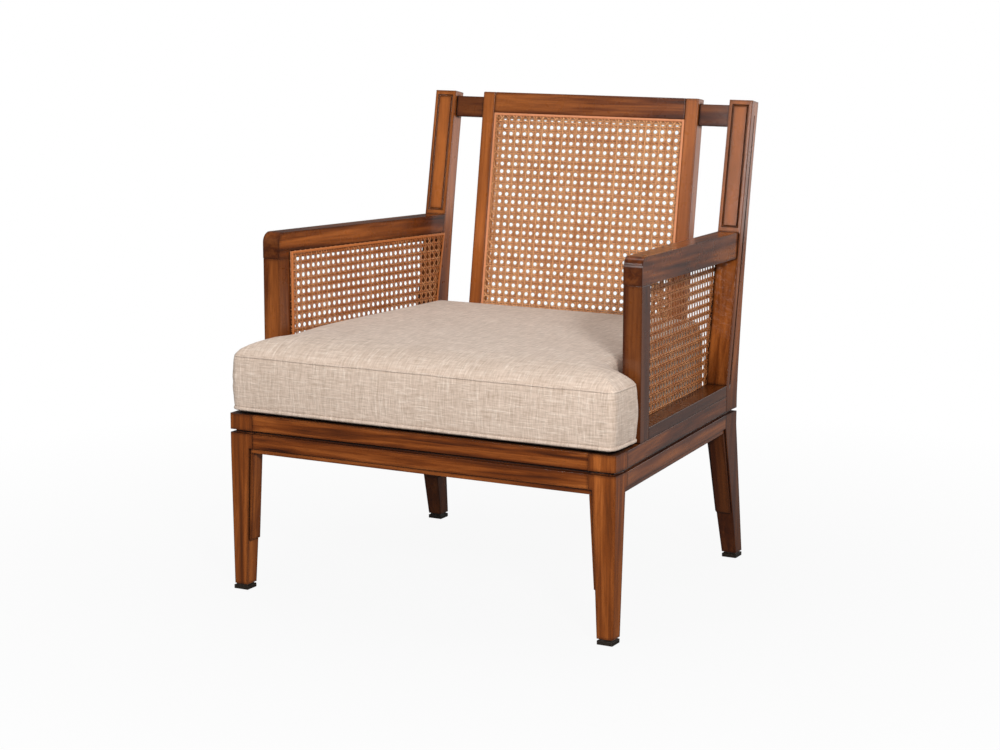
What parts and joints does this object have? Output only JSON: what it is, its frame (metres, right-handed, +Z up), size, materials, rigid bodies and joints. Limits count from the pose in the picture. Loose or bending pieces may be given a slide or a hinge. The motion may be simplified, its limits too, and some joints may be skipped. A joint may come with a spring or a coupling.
{
  "type": "lounge armchair",
  "caption": "Wooden lounge armchair with woven cane panels in the arms and back, tapered legs and a loose T-shaped seat cushion.",
  "frame": {"origin": "on the floor, under the middle of the chair's bounding box", "axes": "+Z up, the chair's front faces -Y, +X to the viewer's right as seen from the front, millimetre sizes in the STEP files"},
  "size_m": [0.735, 0.675, 0.835],
  "materials": {
    "frame_wood": "glossy red-brown stained hardwood",
    "seat_wood": "plain unfinished softwood inside the seat",
    "cane": "honey-coloured woven cane, clear varnish",
    "cane_strip": "lighter cane strip, satin varnish",
    "linen": "beige slubbed linen over a foam core",
    "glide": "dark pad under the foot"
  },
  "bodies": {
    "frame": {"arm_cane_left": "cane", "arm_cane_right": "cane", "arm_post_left": "frame_wood", "arm_post_right": "frame_wood", "arm_rail_left": "frame_wood", "arm_rail_right": "frame_wood", "arm_sill_left": "frame_wood", "arm_sill_right": "frame_wood", "arm_spline_left": "cane_strip", "arm_spline_right": "cane_strip", "back_bottom_rail": "frame_wood", "back_cane": "cane", "back_link_left": "frame_wood", "back_link_right": "frame_wood", "back_spline": "cane_strip", "back_stile_left": "frame_wood", "back_stile_right": "frame_wood", "back_top_rail": "frame_wood", "front_bead": "frame_wood", "front_cleat": "seat_wood", "front_corner_block_left": "seat_wood", "front_corner_block_right": "seat_wood", "front_glide_left": "glide", "front_glide_right": "glide", "front_leg_cross_liner_left": "frame_wood", "front_leg_cross_liner_right": "frame_wood", "front_leg_left": "frame_wood", "front_leg_right": "frame_wood", "front_leg_side_liner_left": "frame_wood", "front_leg_side_liner_right": "frame_wood", "front_rail": "frame_wood", "rear_bead": "frame_wood", "rear_cleat": "seat_wood", "rear_corner_block_left": "seat_wood", "rear_corner_block_right": "seat_wood", "rear_glide_left": "glide", "rear_glide_right": "glide", "rear_leg_cross_liner_left": "frame_wood", "rear_leg_cross_liner_right": "frame_wood", "rear_leg_left": "frame_wood", "rear_leg_right": "frame_wood", "rear_leg_side_liner_left": "frame_wood", "rear_leg_side_liner_right": "frame_wood", "rear_rail": "frame_wood", "seat_slat_1": "seat_wood", "seat_slat_2": "seat_wood", "seat_slat_3": "seat_wood", "seat_slat_4": "seat_wood", "seat_slat_5": "seat_wood", "side_bead_left": "frame_wood", "side_bead_right": "frame_wood", "side_rail_left": "frame_wood", "side_rail_right": "frame_wood"},
    "cushion": {"seat_cushion": "linen"}
  },
  "joints": [
    {"name": "cushion_lift", "type": "slide", "parent": "frame", "child": "cushion", "axis": [0, 0, 1], "range_m": [0, 0.35]}
  ]
}
